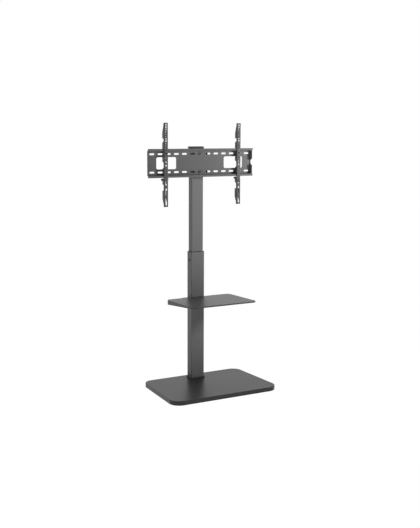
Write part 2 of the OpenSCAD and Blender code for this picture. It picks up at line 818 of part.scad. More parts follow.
module shelf_bracket() {
    tip_h = shelf_plate_h * tip_share;
    top = -shelf_t - fit;
    color([0.13, 0.13, 0.135]) difference() {
        union() {
            translate([-shelf_plate_w / 2, shelf_back_y - gusset_t, plate_top_z - shelf_plate_h])
                cube([shelf_plate_w, gusset_t, shelf_plate_h]);
            on_shelf() for (s = [0, 1]) mirror([s, 0, 0]) {
                translate([gusset_x - gusset_t, 0, 0]) rotate([90, 0, 90]) linear_extrude(gusset_t)
                    polygon([[-fit, top], [-gusset_l, top], [-gusset_l, top - tip_h],
                        [-fit, top - shelf_plate_h + gusset_t]]);
                translate([gusset_x - gusset_t, -gusset_l, top - gusset_t])
                    cube([gusset_w + gusset_t, gusset_l - 4 * gusset_t, gusset_t]);
            }
        }
        at_studs() translate([0, 0, top - gusset_t - cut])
            cylinder(d = stud_d + 2 * bolt_gap, h = gusset_t + 2 * cut);
        for (x = [-1, 1])
            translate([x * shelf_bolt_x, shelf_back_y - gusset_t - cut, shelf_bolt_z])
                rod_y(shelf_bolt_d / 2 + bolt_gap, gusset_t + 2 * cut);
    }
}

module shelf_clamp_bar() {
    bar_h = shelf_plate_h * bar_h_share;
    bar_w = 2 * (shelf_bolt_x + shelf_bolt_d * 2);
    color([0.13, 0.13, 0.135]) difference() {
        translate([-bar_w / 2, bar_y, shelf_bolt_z]) mirror([0, 1, 0]) rotate([0, 90, 0])
            channel(bar_h, 4 * gusset_t, gusset_t, 1.5 * gusset_t, bar_w);
        for (x = [-1, 1])
            translate([x * shelf_bolt_x, bar_y - cut, shelf_bolt_z])
                rod_y(shelf_bolt_d / 2 + bolt_gap, gusset_t + 2 * cut);
    }
}

module shelf_clamp_bolts() {
    head_h = shelf_bolt_d * head_h_share;
    tip_y = shelf_back_y - gusset_t - shelf_bolt_d * (nut_h_share + head_h_share / 2);
    color([0.6, 0.6, 0.62]) for (x = [-1, 1]) translate([x * shelf_bolt_x, 0, shelf_bolt_z]) {
        translate([0, tip_y, 0]) rod_y(shelf_bolt_d / 2, bar_y + gusset_t - tip_y);
        translate([0, bar_y + gusset_t, 0]) rotate([-90, 0, 0]) hexagon(shelf_bolt_d * head_af_share, head_h);
    }
}

module shelf_clamp_nuts() {
    color([0.6, 0.6, 0.62]) for (x = [-1, 1])
        translate([x * shelf_bolt_x, shelf_back_y - gusset_t, shelf_bolt_z]) rotate([90, 0, 0])
            nut(shelf_bolt_d, thread_gap);
}

base_board();
foot_pads();
spreader_plate();
foot_bolts();
column_end_plate();
foot_collar();
lower_tube();
column_bush();
clamp_screw();
clamp_pad();
upper_tube();
mast_guide();
mast_cap();
plate_bracket();
plate_standoffs();
mount_plate();
plate_bolts();
plate_washers();
left_arm();
left_safety_screw();
left_safety_nut();
right_arm();
right_safety_screw();
right_safety_nut();
shelf_tray();
shelf_studs();
shelf_nuts();
shelf_bracket();
shelf_clamp_bar();
shelf_clamp_bolts();
shelf_clamp_nuts();
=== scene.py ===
"""Finish, studio and camera for a television floor stand with a hook-on screen mount."""
import json
import math
from collections import namedtuple

import bmesh
import bpy
from mathutils import Matrix, Vector


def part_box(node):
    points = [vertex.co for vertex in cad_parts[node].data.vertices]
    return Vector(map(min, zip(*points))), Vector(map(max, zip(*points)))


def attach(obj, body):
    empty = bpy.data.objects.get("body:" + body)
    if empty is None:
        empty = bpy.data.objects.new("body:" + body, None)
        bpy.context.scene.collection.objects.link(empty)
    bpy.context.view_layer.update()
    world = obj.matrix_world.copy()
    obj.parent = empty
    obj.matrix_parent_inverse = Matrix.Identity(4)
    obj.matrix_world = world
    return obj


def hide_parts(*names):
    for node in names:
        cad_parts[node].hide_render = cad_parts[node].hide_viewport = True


MM = 0.001
# Two heights closer than this count as one; points are merged at a share of it
TINY = 0.00001
# Room left between two pieces that fit together
GAP = 0.1 * MM

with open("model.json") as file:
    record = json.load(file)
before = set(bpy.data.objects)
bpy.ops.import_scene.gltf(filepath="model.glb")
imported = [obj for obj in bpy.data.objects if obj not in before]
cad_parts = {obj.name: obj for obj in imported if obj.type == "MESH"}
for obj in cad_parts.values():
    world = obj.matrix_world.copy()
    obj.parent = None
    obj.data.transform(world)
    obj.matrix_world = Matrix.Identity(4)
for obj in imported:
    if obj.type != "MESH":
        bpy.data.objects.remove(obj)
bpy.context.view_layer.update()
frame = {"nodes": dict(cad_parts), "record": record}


# Hand tools

def pick(piece):
    """Makes one piece the only selected one."""
    if bpy.context.mode != "OBJECT":
        bpy.ops.object.mode_set(mode="OBJECT")
    bpy.ops.object.select_all(action="DESELECT")
    piece.select_set(True)
    bpy.context.view_layer.objects.active = piece


def open_mesh(piece, kind="FACE"):
    """Starts to edit a piece's mesh, with nothing selected."""
    pick(piece)
    bpy.ops.object.mode_set(mode="EDIT")
    bpy.ops.mesh.select_mode(type=kind)
    bpy.ops.mesh.select_all(action="DESELECT")


def open_whole_mesh(piece, kind="FACE"):
    """Starts to edit a piece's mesh, with all of it selected."""
    open_mesh(piece, kind)
    bpy.ops.mesh.select_all(action="SELECT")


def close_mesh():
    bpy.ops.object.mode_set(mode="OBJECT")


def select_where(piece, kind, test):
    """Selects the "verts" or "edges" that pass a test, and nothing else."""
    bpy.ops.mesh.select_mode(type={"verts": "VERT", "edges": "EDGE"}[kind])
    bpy.ops.mesh.select_all(action="DESELECT")
    work = bmesh.from_edit_mesh(piece.data)
    for item in getattr(work, kind):
        if test(item):
            item.select_set(True)
    work.select_flush_mode()
    bmesh.update_edit_mesh(piece.data)


def settle(piece):
    """Moves a piece's place, turn and size into its mesh."""
    pick(piece)
    bpy.ops.object.transform_apply(location=True, rotation=True, scale=True)


def apply_modifier(piece, kind, **settings):
    pick(piece)
    made = piece.modifiers.new(kind.lower(), kind)
    for name, value in settings.items():
        setattr(made, name, value)
    bpy.ops.object.modifier_apply(modifier=made.name)


def soften(piece, width):
    """Breaks every sharp edge of a piece."""
    apply_modifier(piece, "BEVEL", width=width, segments=2, limit_method="ANGLE",
                   angle_limit=math.radians(30), use_clamp_overlap=True)


def smooth(piece, angle=35):
    """Smooth shading that leaves the large flat faces flat."""
    pick(piece)
    bpy.ops.object.shade_smooth_by_angle(angle=math.radians(angle))
    apply_modifier(piece, "WEIGHTED_NORMAL", keep_sharp=True)


def face_outwards(piece):
    open_whole_mesh(piece)
    bpy.ops.mesh.normals_make_consistent(inside=False)
    close_mesh()


def merge_points(piece, distance):
    """Makes one point of those that lie closer together than a distance."""
    open_whole_mesh(piece, "VERT")
    bpy.ops.mesh.remove_doubles(threshold=distance)
    close_mesh()


def combine(piece, tool, operation):
    """Cuts a piece with a tool, joins them into one solid, or keeps what they share."""
    apply_modifier(piece, "BOOLEAN", object=tool, operation=operation, solver="EXACT")
    bpy.data.objects.remove(tool)
    merge_points(piece, TINY / 5)
    return piece


def join(pieces):
    """Makes one piece of several, without cutting them."""
    pick(pieces[0])
    for piece in pieces[1:]:
        piece.select_set(True)
    bpy.ops.object.join()
    return pieces[0]


def stand_at(piece, point, axis=(0, 0, 1)):
    """Turns a piece from +z to an axis and puts it at a point."""
    piece.rotation_mode = "QUATERNION"
    piece.rotation_quaternion = Vector((0, 0, 1)).rotation_difference(Vector(axis))
    piece.location = point
    settle(piece)
    return piece


def at_level(*levels):
    """A test for edges that lie flat at one of the given heights."""
    return lambda item: any(all(abs(corner.co.z - z) < TINY for corner in item.verts)
                            for z in levels)


def both_ends(length):
    """The heights of the two ends of a piece that stands with its middle at the origin."""
    return -length / 2, length / 2


def round_rims(piece, levels, width, segments):
    """Rounds the rims of a piece at the given heights."""
    open_mesh(piece, "EDGE")
    select_where(piece, "edges", at_level(*levels))
    bpy.ops.mesh.bevel(offset=width, segments=segments, affect="EDGES", clamp_overlap=True)
    close_mesh()
    return piece


def chamfer_rims(piece, levels, width):
    """Cuts the rims of a piece at the given heights off at 45 degrees."""
    return round_rims(piece, levels, width, segments=1)


def drum(radius, length, sides=48):
    """A cylinder along z with its middle at the origin."""
    bpy.ops.object.select_all(action="DESELECT")
    bpy.ops.mesh.primitive_cylinder_add(vertices=sides, radius=radius, depth=length)
    return bpy.context.object


def block(width, depth, height):
    """A box with its middle at the origin."""
    bpy.ops.object.select_all(action="DESELECT")
    bpy.ops.mesh.primitive_cube_add(size=1, scale=(width, depth, height))
    piece = bpy.context.object
    settle(piece)
    return piece


def rounded_slab(front_width, back_width, depth, radii, thickness, segments=12):
    """A slab on z = 0 with rounded corners; radii holds the front corners' and the back ones'."""
    bpy.ops.object.select_all(action="DESELECT")
    bpy.ops.mesh.primitive_plane_add(size=1)
    piece = bpy.context.object
    splay = math.atan2((front_width - back_width) / 2, depth)
    open_mesh(piece, "VERT")
    for side, width in ((-1, front_width), (1, back_width)):
        select_where(piece, "verts", lambda corner: corner.co.y * side > 0)
        bpy.ops.transform.resize(value=(width, 1, 1))
    bpy.ops.mesh.select_all(action="SELECT")
    bpy.ops.transform.resize(value=(1, depth, 1))
    for side, radius in zip((-1, 1), radii):
        half_corner = (math.pi / 2 + side * splay) / 2
        select_where(piece, "verts", lambda corner: abs(corner.co.y - side * depth / 2) < TINY)
        bpy.ops.mesh.bevel(offset=radius / math.tan(half_corner), segments=segments,
                           affect="VERTICES")
    bpy.ops.mesh.select_all(action="SELECT")
    bpy.ops.mesh.extrude_region_move(TRANSFORM_OT_translate={"value": (0, 0, thickness)})
    close_mesh()
    face_outwards(piece)
    return piece


# Nodes of the part

Box = namedtuple("Box", "low middle size")

SLOT_OF_NODE = {part["node"]: part["material_slot"] for part in frame["record"]["subparts"]}
BODY_OF_NODE = {node: body for body, nodes in frame["record"]["behaviour"]["bodies"].items()
                for node in nodes}


def box_of(node):
    """A node's lowest corner, its middle and its size."""
    low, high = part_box(node)
    return Box(low, (low + high) / 2, high - low)


def copy_of_node(node):
    """A cleaned copy of a node's mesh, with its flat faces whole again."""
    mesh = frame["nodes"][node].data.copy()
    mesh.materials.clear()
    piece = bpy.data.objects.new(node + "_copy", mesh)
    bpy.context.scene.collection.objects.link(piece)
    open_whole_mesh(piece)
    bpy.ops.mesh.remove_doubles(threshold=TINY / 10)
    bpy.ops.mesh.dissolve_limited(angle_limit=math.radians(0.5))
    close_mesh()
    if mesh.has_custom_normals:
        bpy.ops.mesh.customdata_custom_splitnormals_clear()
    return piece


def centres_of(node):
    """The middle of each separate solid of a node."""
    piece = copy_of_node(node)
    open_whole_mesh(piece)
    bpy.ops.mesh.separate(type="LOOSE")
    close_mesh()
    found = []
    for part in list(bpy.context.selected_objects):
        corners = [Vector(corner) for corner in part.bound_box]
        found.append((corners[0] + corners[6]) / 2)
        bpy.data.objects.remove(part)
    return sorted(found, key=tuple)


# Camera, as the photograph was taken

AIM = Vector((0.0018, -0.00624, 0.69659))
STAND_POINT = Vector((-2.26882, -4.11608, 1.42179))
LENS = 60.19
ROLL = 0.22

camera_data = bpy.data.cameras.new("photo_camera")
camera_data.lens = LENS
camera_data.sensor_width = 36
camera_data.clip_end = 200
camera = bpy.data.objects.new("photo_camera", camera_data)
bpy.context.scene.collection.objects.link(camera)
look = (AIM - STAND_POINT).to_track_quat("-Z", "Y").to_matrix().to_4x4()
camera.matrix_world = (Matrix.Translation(STAND_POINT) @ look
                       @ Matrix.Rotation(math.radians(ROLL), 4, "Z"))
bpy.context.scene.camera = camera


# Finishes

# A Mix node's sockets by its kind: factor, first value, second value, result
MIX_SOCKETS = {"FLOAT": (0, 2, 3, 0), "RGBA": (0, 6, 7, 2)}


def node_group(name, inputs, outputs):
    """An empty shader group with named sockets; returns it with its two end nodes."""
    group = bpy.data.node_groups.new(name, "ShaderNodeTree")
    for socket, kind, value in inputs:
        made = group.interface.new_socket(socket, in_out="INPUT", socket_type=kind)
        made.default_value = value
    for socket, kind in outputs:
        group.interface.new_socket(socket, in_out="OUTPUT", socket_type=kind)
    return group, group.nodes.new("NodeGroupInput"), group.nodes.new("NodeGroupOutput")


def math_node(tree, operation, a, b):
    """A Math node fed by sockets or numbers."""
    made = tree.nodes.new("ShaderNodeMath")
    made.operation = operation
    for socket, value in zip(made.inputs, (a, b)):
        if isinstance(value, (int, float)):
            socket.default_value = value
        else:
            tree.links.new(value, socket)
    return made.outputs[0]


def mix_node(tree, kind, factor, low, high):
    """A Mix node that goes from one socket's value to another's."""
    made = tree.nodes.new("ShaderNodeMix")
    made.data_type = kind
    *ends, result = MIX_SOCKETS[kind]
    for end, value in zip(ends, (factor, low, high)):
        tree.links.new(value, made.inputs[end])
    return made.outputs[result]


def noise_node(tree, place, scale, detail):
    """A Noise node's values over a piece."""
    made = tree.nodes.new("ShaderNodeTexNoise")
    made.inputs["Detail"].default_value = detail
    tree.links.new(place, made.inputs["Vector"])
    tree.links.new(scale, made.inputs["Scale"])
    return made.outputs["Fac"]


def sprayed_skin():
    """Orange peel of a sprayed or moulded skin, with a tone and a gloss that drift over it."""
    group, start, end = node_group(
        "sprayed_skin",
        [("Grain", "NodeSocketFloat", 900.0), ("Drift", "NodeSocketFloat", 4.0),
         ("Tone Low", "NodeSocketColor", (0.1, 0.1, 0.1, 1)),
         ("Tone High", "NodeSocketColor", (0.12, 0.12, 0.12, 1)),
         ("Gloss Low", "NodeSocketFloat", 0.4), ("Gloss High", "NodeSocketFloat", 0.5)],
        [("Colour", "NodeSocketColor"), ("Roughness", "NodeSocketFloat"),
         ("Height", "NodeSocketFloat")])
    place = group.nodes.new("ShaderNodeTexCoord").outputs["Object"]
    fine = noise_node(group, place, start.outputs["Grain"], detail=3)
    broad = noise_node(group, place, start.outputs["Drift"], detail=4)
    blend = math_node(group, "MULTIPLY", math_node(group, "ADD", broad, fine), 0.5)
    tone = mix_node(group, "RGBA", broad, start.outputs["Tone Low"], start.outputs["Tone High"])
    gloss = mix_node(group, "FLOAT", blend, start.outputs["Gloss Low"], start.outputs["Gloss High"])
    group.links.new(tone, end.inputs["Colour"])
    group.links.new(gloss, end.inputs["Roughness"])
    group.links.new(fine, end.inputs["Height"])
    return group


SKIN = sprayed_skin()


def skin_material(name, tones, rough, grain, depth, metallic=0.0, drift=4.0, level=0.5):
    """A finish from the shared skin: two tones, two roughnesses, its grain's depth in metres."""
    material = bpy.data.materials.new(name)
    material.use_nodes = True
    tree = material.node_tree
    shader = tree.nodes["Principled BSDF"]
    shader.inputs["Metallic"].default_value = metallic
    shader.inputs["Specular IOR Level"].default_value = level
    skin = tree.nodes.new("ShaderNodeGroup")
    skin.node_tree = SKIN
    low, high = tones
    for socket, value in (("Grain", grain), ("Drift", drift),
                          ("Tone Low", (*low, 1)), ("Tone High", (*high, 1)),
                          ("Gloss Low", rough[0]), ("Gloss High", rough[1])):
        skin.inputs[socket].default_value = value
    bump = tree.nodes.new("ShaderNodeBump")
    bump.inputs["Strength"].default_value = 1.0
    bump.inputs["Distance"].default_value = depth
    tree.links.new(skin.outputs["Height"], bump.inputs["Height"])
    tree.links.new(skin.outputs["Colour"], shader.inputs["Base Color"])
    tree.links.new(skin.outputs["Roughness"], shader.inputs["Roughness"])
    tree.links.new(bump.outputs["Normal"], shader.inputs["Normal"])
    return material


# Powder coats: one satin black coat and copies of it whose tones are painted light and shade, each
# shade set against the photograph's brightness on its own piece; the tubes' copy is lighter, as
# painted light
COAT = skin_material("satin_black_powder_coat", ((0.16, 0.16, 0.162), (0.18, 0.18, 0.182)),
                     (0.38, 0.5), grain=450, depth=0.00008, level=0.14)
TUBE_COAT_PAINTED_LIGHT = skin_material("satin_black_coat_painted_light", ((0.198, 0.198, 0.2), (0.222, 0.222, 0.224)),
                          (0.38, 0.5), grain=450, depth=0.00008, level=0.2)
# The shelf's copy of the coat, far darker: painted shade on the tray's top and sides
SHELF_COAT_PAINTED_SHADE = skin_material("satin_black_coat_painted_shade_shelf", ((0.036, 0.036, 0.037), (0.046, 0.046, 0.047)),
                           (0.33, 0.43), grain=700, depth=0.00004, level=0.4)
# The arms' copy of the coat, darker: painted shade
ARM_COAT_PAINTED_SHADE = skin_material("satin_black_coat_painted_shade_arms", ((0.098, 0.098, 0.1), (0.115, 0.115, 0.117)),
                         (0.36, 0.48), grain=450, depth=0.00006, level=0.25)
# The bracket and standoffs behind the plate, nearly black: painted shade where they are seen
# through the plate's slots
BRACKET_PAINTED_SHADE = skin_material("black_steel_painted_shade", ((0.02, 0.02, 0.02), (0.032, 0.032, 0.032)),
                       (0.5, 0.65), grain=900, depth=0.00003, level=0.2)

# Board, plastics and rubber
FILM = skin_material("black_board_film", ((0.016, 0.016, 0.016), (0.021, 0.021, 0.021)),
                     (0.33, 0.42), grain=500, depth=0.00004, level=0.38)
TRIM = skin_material("moulded_black_plastic", ((0.018, 0.018, 0.018), (0.022, 0.022, 0.022)),
                     (0.5, 0.6), grain=1400, depth=0.00003)
RUBBER = skin_material("black_rubber", ((0.014, 0.014, 0.014), (0.02, 0.02, 0.02)),
                       (0.75, 0.9), grain=600, depth=0.0001)

# Bare and plated metals
OXIDE = skin_material("black_screw_steel", ((0.03, 0.03, 0.031), (0.045, 0.045, 0.047)),
                      (0.3, 0.42), grain=900, depth=0.00001, metallic=0.6)
ZINC = skin_material("zinc_plated_steel", ((0.52, 0.53, 0.55), (0.66, 0.66, 0.66)),
                     (0.26, 0.4), grain=500, depth=0.00001, metallic=1.0, drift=60)
STEEL = skin_material("mill_steel", ((0.32, 0.32, 0.33), (0.46, 0.45, 0.45)),
                      (0.36, 0.5), grain=260, depth=0.00002, metallic=1.0, drift=30)
BRASS = skin_material("turned_brass", ((0.62, 0.42, 0.16), (0.72, 0.52, 0.22)),
                      (0.25, 0.35), grain=500, depth=0.00001, metallic=1.0)

FINISH_OF_SLOT = {"board": FILM, "pads": RUBBER, "plain_steel": STEEL, "plated_steel": ZINC,
                  "plastic_trim": TRIM, "coated_steel": COAT, "black_screws": OXIDE,
                  "brass_pad": BRASS}
# Nodes that take another finish than their slot's: the lit and shaded copies of the coat, as
# painted light on the tubes and painted shade on the shelf, the arms and the bracket, and the
# plate's bolts and washers in the plate's coat
FINISH_OF_NODE = {"upper_tube": TUBE_COAT_PAINTED_LIGHT, "lower_tube": TUBE_COAT_PAINTED_LIGHT, "shelf_tray": SHELF_COAT_PAINTED_SHADE,
                  "left_arm": ARM_COAT_PAINTED_SHADE, "right_arm": ARM_COAT_PAINTED_SHADE,
                  "plate_bolts": COAT, "plate_washers": COAT,
                  "plate_bracket": BRACKET_PAINTED_SHADE, "plate_standoffs": BRACKET_PAINTED_SHADE}


def finish_of(node):
    return FINISH_OF_NODE.get(node, FINISH_OF_SLOT[SLOT_OF_NODE[node]])


def finish_nodes():
    """Gives every node of the part its finish."""
    for node, thing in frame["nodes"].items():
        finish = finish_of(node)
        for place in thing.material_slots:
            place.material = finish
        if not thing.material_slots:
            thing.data.materials.append(finish)


def finish_piece(piece, name, body, material, nodes=()):
    """Names a piece, finishes it, hangs it on the body it moves with, and hides the nodes that it
    takes the place of.
    """
    piece.name = name
    piece.data.name = name
    piece.data.materials.clear()
    piece.data.materials.append(material)
    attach(piece, body)
    if nodes:
        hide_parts(*nodes)


def dress(piece, node, suffix):
    """Puts a finished piece in a node's place, with that node's body and finish."""
    finish_piece(piece, node + suffix, BODY_OF_NODE[node], finish_of(node),
                 [node])


# Base

BOARD_FRONT_W = 643 * MM
BOARD_BACK_W = 599 * MM
BOARD_RADII = (58 * MM, 52 * MM)
BOARD_EDGE = 2 * MM
# Room round the steel plate in its pocket
PLATE_ROOM = 10 * GAP
# The lower tube's corners
TUBE_R = 3 * MM
# The share of the collar's width that its rounded top takes, and the radius at its foot
COLLAR_TOP_SHARE = 0.8
COLLAR_FOOT_R = 0.4 * MM


def base_board():
    """The board, with the pocket for the steel plate cut into its underside."""
    box = box_of("base_board")
    low, size = box.low, box.size
    board = rounded_slab(BOARD_FRONT_W, BOARD_BACK_W, size.y, BOARD_RADII, size.z, segments=20)
    stand_at(board, (0, 0, low.z))
    round_rims(board, (low.z, low.z + size.z), BOARD_EDGE, segments=4)
    plate = box_of("spreader_plate")
    pocket = block(plate.size.x + PLATE_ROOM, plate.size.y + PLATE_ROOM, 2 * plate.size.z)
    stand_at(pocket, (0, plate.middle.y, plate.low.z))
    combine(board, pocket, "DIFFERENCE")
    smooth(board)
    dress(board, "base_board", "_panel")


def foot_collar():
    """The moulded trim: a skirt with a rounded top, bored to fit round the tube."""
    box = box_of("foot_collar")
    size = box.size
    tube_size = box_of("lower_tube").size
    width = (size.x - tube_size.x) / 2
    collar = rounded_slab(size.x, size.x, size.y, (TUBE_R + width, TUBE_R + width), size.z)
    round_rims(collar, (size.z,), width * COLLAR_TOP_SHARE, segments=5)
    round_rims(collar, (0,), COLLAR_FOOT_R, segments=2)
    bore_w = tube_size.x + 2 * GAP
    bore = rounded_slab(bore_w, bore_w, tube_size.y + 2 * GAP, (TUBE_R, TUBE_R), 2 * size.z)
    stand_at(bore, (0, 0, -size.z / 2))
    combine(collar, bore, "DIFFERENCE")
    stand_at(collar, (0, box.middle.y, box.low.z))
    smooth(collar)
    dress(collar, "foot_collar", "_moulding")


PAD_D = 40 * MM
PAD_RIM = 1.2 * MM
DISH_R = PAD_D / 3
DISH_DEPTH = 1 * MM
# The well for a pad's screw, and the rubber left above it
WELL_R = 5.5 * MM
WELL_ROOF = 1.5 * MM
PAD_SCREW_R = 4.2 * MM
PAD_SCREW_H = 2 * MM
PAD_SCREW_DOME = 1.2 * MM
CROSS_L = 4.6 * MM
CROSS_W = 0.8 * MM
CROSS_DEPTH = 0.8 * MM


def foot_pad(height):
    """A rubber pad, dished underneath round the head of its screw."""
    pad = drum(PAD_D / 2, height, sides=64)
    round_rims(pad, (-height / 2,), PAD_RIM, segments=4)
    dish = drum(DISH_R, 2 * DISH_DEPTH, sides=64)
    stand_at(dish, (0, 0, -height / 2))
    well = drum(WELL_R, 2 * (height - WELL_ROOF))
    stand_at(well, (0, 0, -height / 2))
    return combine(combine(pad, dish, "DIFFERENCE"), well, "DIFFERENCE")


def pad_screw_head():
    """The domed head of a cross-recessed screw, facing down."""
    face = -PAD_SCREW_H / 2
    head = drum(PAD_SCREW_R, PAD_SCREW_H)
    round_rims(head, (face,), PAD_SCREW_DOME, segments=5)
    for width, depth in ((CROSS_L, CROSS_W), (CROSS_W, CROSS_L)):
        blade = block(width, depth, 2 * CROSS_DEPTH)
        stand_at(blade, (0, 0, face))
        combine(head, blade, "DIFFERENCE")
    return head


def feet():
    """The five pads, and the heads of the screws that hold them."""
    places = centres_of("foot_pads")
    height = box_of("foot_pads").size.z
    pads = join([stand_at(foot_pad(height), place) for place in places])
    smooth(pads, angle=30)
    dress(pads, "foot_pads", "_rubber")
    seat = height - WELL_ROOF - PAD_SCREW_H / 2
    screws = join([stand_at(pad_screw_head(), (place.x, place.y, seat)) for place in places])
    smooth(screws, angle=30)
    finish_piece(screws, "pad_screws", "stand", ZINC)


# Mast

# The upper tube's corners and wall
MAST_R = 3.5 * MM
MAST_WALL = 2 * MM
# The lid's corners, and the roundings of its top and lower edges
CAP_R = 5.25 * MM
CAP_TOP_R = 2.6 * MM
CAP_FOOT_R = 0.6 * MM
# How far the plug reaches into the lid
PLUG_LAP = 2 * MM


def mast_cap():
    """The end cap: a lid with a soft top edge on a plug that fills the tube's mouth."""
    box = box_of("mast_cap")
    low, size = box.low, box.size
    tube = box_of("upper_tube")
    lid_low = tube.low.z + tube.size.z
    lid_h = low.z + size.z - lid_low
    lid = rounded_slab(size.x, size.x, size.y, (CAP_R, CAP_R), lid_h)
    round_rims(lid, (lid_h,), CAP_TOP_R, segments=6)
    round_rims(lid, (0,), CAP_FOOT_R, segments=2)
    wall = MAST_WALL + GAP
    plug_w = tube.size.x - 2 * wall
    plug = rounded_slab(plug_w, plug_w, tube.size.y - 2 * wall, (MAST_R - wall, MAST_R - wall),
                        lid_low - low.z + PLUG_LAP, segments=4)
    stand_at(plug, (0, 0, low.z - lid_low))
    combine(lid, plug, "UNION")
    stand_at(lid, (0, box.middle.y, lid_low))
    smooth(lid)
    dress(lid, "mast_cap", "_moulding")


# Screws and nuts

# A thread's diameter and pitch, and the width across the flats of its nut
Thread = namedtuple("Thread", "diameter pitch flats")
STUD_THREAD = Thread(5 * MM, 0.8 * MM, 8.125 * MM)
ARM_THREAD = Thread(6 * MM, 1 * MM, 9.75 * MM)
BOLT_THREAD = Thread(8 * MM, 1.25 * MM, 13 * MM)

# The depth of a thread as a share of its pitch, its steps in one turn, and the turns to spare
# at its ends, which are cut away
THREAD_DEPTH_SHARE = 0.6
THREAD_STEPS = 20
SPARE_TURNS = 2
# How much of a hexagon's corners is turned off, as a share of its flats, and the tool's play
CORNER_SHARE = 0.085
CORNER_PLAY = 1.002
# The countersink of a nut's bore: its width, the height of its cone, and how far that stands out
SINK_W = 0.5 * MM
SINK_CONE = 2 * MM
SINK_PAST = 0.5 * MM


def hex_blank(across, height):
    """A hexagon along z with its corners turned off at both ends."""
    corner = across / 2 / math.cos(math.radians(30))
    turned = chamfer_rims(drum(corner * CORNER_PLAY, height), both_ends(height),
                          CORNER_SHARE * across)
    hexagon = drum(corner, height, sides=6)
    hexagon.rotation_euler.z = math.radians(30)
    settle(hexagon)
    return combine(hexagon, turned, "INTERSECT")


def hex_nut(screwed, height):
    """A nut along z, countersunk at both ends."""
    radius = screwed.diameter / 2
    nut = hex_blank(screwed.flats, height)
    combine(nut, drum(radius, 2 * height, sides=32), "DIFFERENCE")
    depth = SINK_CONE - SINK_PAST
    for end in (-1, 1):
        sink = drum(radius + SINK_W + SINK_PAST, 2 * depth)
        chamfer_rims(sink, (-end * depth,), SINK_CONE)
        stand_at(sink, (0, 0, end * height / 2))
        combine(nut, sink, "DIFFERENCE")
    return nut


def thread(screwed, length):
    """A screw thread along z, its middle at the origin, with both ends chamfered."""
    pitch = screwed.pitch
    depth = THREAD_DEPTH_SHARE * pitch
    outer = screwed.diameter / 2
    bpy.ops.object.select_all(action="DESELECT")
    bpy.ops.mesh.primitive_plane_add(size=1, rotation=(math.pi / 2, 0, 0),
                                     location=(outer - depth / 2, 0, 0))
    ridge = bpy.context.object
    ridge.scale = (depth, pitch, 1)
    settle(ridge)
    open_mesh(ridge, "VERT")
    select_where(ridge, "verts", lambda corner: corner.co.x > outer - TINY)
    bpy.ops.mesh.merge(type="CENTER")
    select_where(ridge, "edges",
                 lambda edge: all(end.co.x < outer - depth + TINY for end in edge.verts))
    bpy.ops.mesh.delete(type="EDGE")
    close_mesh()
    turns = math.ceil(length / pitch) + SPARE_TURNS
    apply_modifier(ridge, "SCREW", screw_offset=pitch, iterations=turns, steps=THREAD_STEPS,
                   render_steps=THREAD_STEPS)
    merge_points(ridge, TINY / 2)
    for cut_height, normal in ((pitch, -1), (pitch + length, 1)):
        open_whole_mesh(ridge, "VERT")
        bpy.ops.mesh.bisect(plane_co=(0, 0, cut_height), plane_no=(0, 0, normal), use_fill=True,
                            clear_outer=True)
        close_mesh()
    face_outwards(ridge)
    stand_at(ridge, (0, 0, -pitch - length / 2))
    tool = chamfer_rims(drum(outer + GAP, length, sides=32), both_ends(length), depth + GAP)
    return combine(ridge, tool, "INTERSECT")


# The knurl of a thumb screw: its teeth, and how far the wall is pressed in between them
GRIP_TEETH = 34
GRIP_PRESS = 0.94
GRIP_RIM = 0.8 * MM
GRIP_L = 10 * MM
# The smooth neck between a thumb screw's grip and its collar
NECK_L = 1 * MM
NECK_SHARE = 0.8
COLLAR_L = 3 * MM
COLLAR_RIM = 0.4 * MM
COIN_SLOT_W = 1 * MM
COIN_SLOT_DEPTH = 1.5 * MM
# How far two lengths of one screw reach into each other
SCREW_LAP = 1 * MM


def knurled_grip(radius, length):
    """A straight-knurled grip along z: every second edge of its wall is pressed in."""
    grip = drum(radius, length, sides=2 * GRIP_TEETH)
    open_mesh(grip, "VERT")
    step = math.pi / GRIP_TEETH
    select_where(grip, "verts",
                 lambda corner: round(math.atan2(corner.co.y, corner.co.x) / step) % 2)
    bpy.ops.transform.resize(value=(GRIP_PRESS, GRIP_PRESS, 1))
    close_mesh()
    tool = drum(radius + GAP, length, sides=64)
    round_rims(tool, both_ends(length), GRIP_RIM, segments=2)
    return combine(grip, tool, "INTERSECT")


def safety_screw(head_r, length):
    """A thumb screw along z: knurled grip, neck, collar and threaded shank."""
    low = -length / 2
    head_l = GRIP_L + NECK_L + COLLAR_L
    grip = stand_at(knurled_grip(head_r, GRIP_L), (0, 0, low + GRIP_L / 2))
    coin_slot = block(COIN_SLOT_W, 3 * head_r, 2 * COIN_SLOT_DEPTH)
    combine(grip, stand_at(coin_slot, (0, 0, low)), "DIFFERENCE")
    neck = drum(NECK_SHARE * head_r, NECK_L + SCREW_LAP)
    combine(grip, stand_at(neck, (0, 0, low + GRIP_L + NECK_L / 2)), "UNION")
    collar = drum(head_r, COLLAR_L, sides=64)
    round_rims(collar, both_ends(COLLAR_L), COLLAR_RIM, segments=2)
    combine(grip, stand_at(collar, (0, 0, low + head_l - COLLAR_L / 2)), "UNION")
    shank_l = length - head_l + SCREW_LAP
    shank = stand_at(thread(ARM_THREAD, shank_l), (0, 0, length / 2 - shank_l / 2))
    return join([grip, shank])


def arm_screws():
    """The thumb screw through each arm, below the plate, with its nut."""
    for side in ("left", "right"):
        box = box_of(side + "_safety_screw")
        screw = safety_screw(box.size.z / 2, box.size.x)
        stand_at(screw, box.middle, (1, 0, 0))
        smooth(screw, angle=30)
        dress(screw, side + "_safety_screw", "_knurled")
        box = box_of(side + "_safety_nut")
        nut = stand_at(hex_nut(ARM_THREAD, box.size.x), box.middle, (1, 0, 0))
        smooth(nut, angle=25)
        dress(nut, side + "_safety_nut", "_turned")


# The shelf's clamp bolts and nuts, and its studs and nuts
BOLT_HEAD_H = 5.28 * MM
BOLT_THREAD_L = 24 * MM
BOLT_NUT_H = 6.4 * MM
STUD_L = 8.75 * MM
STUD_NUT_H = 4 * MM


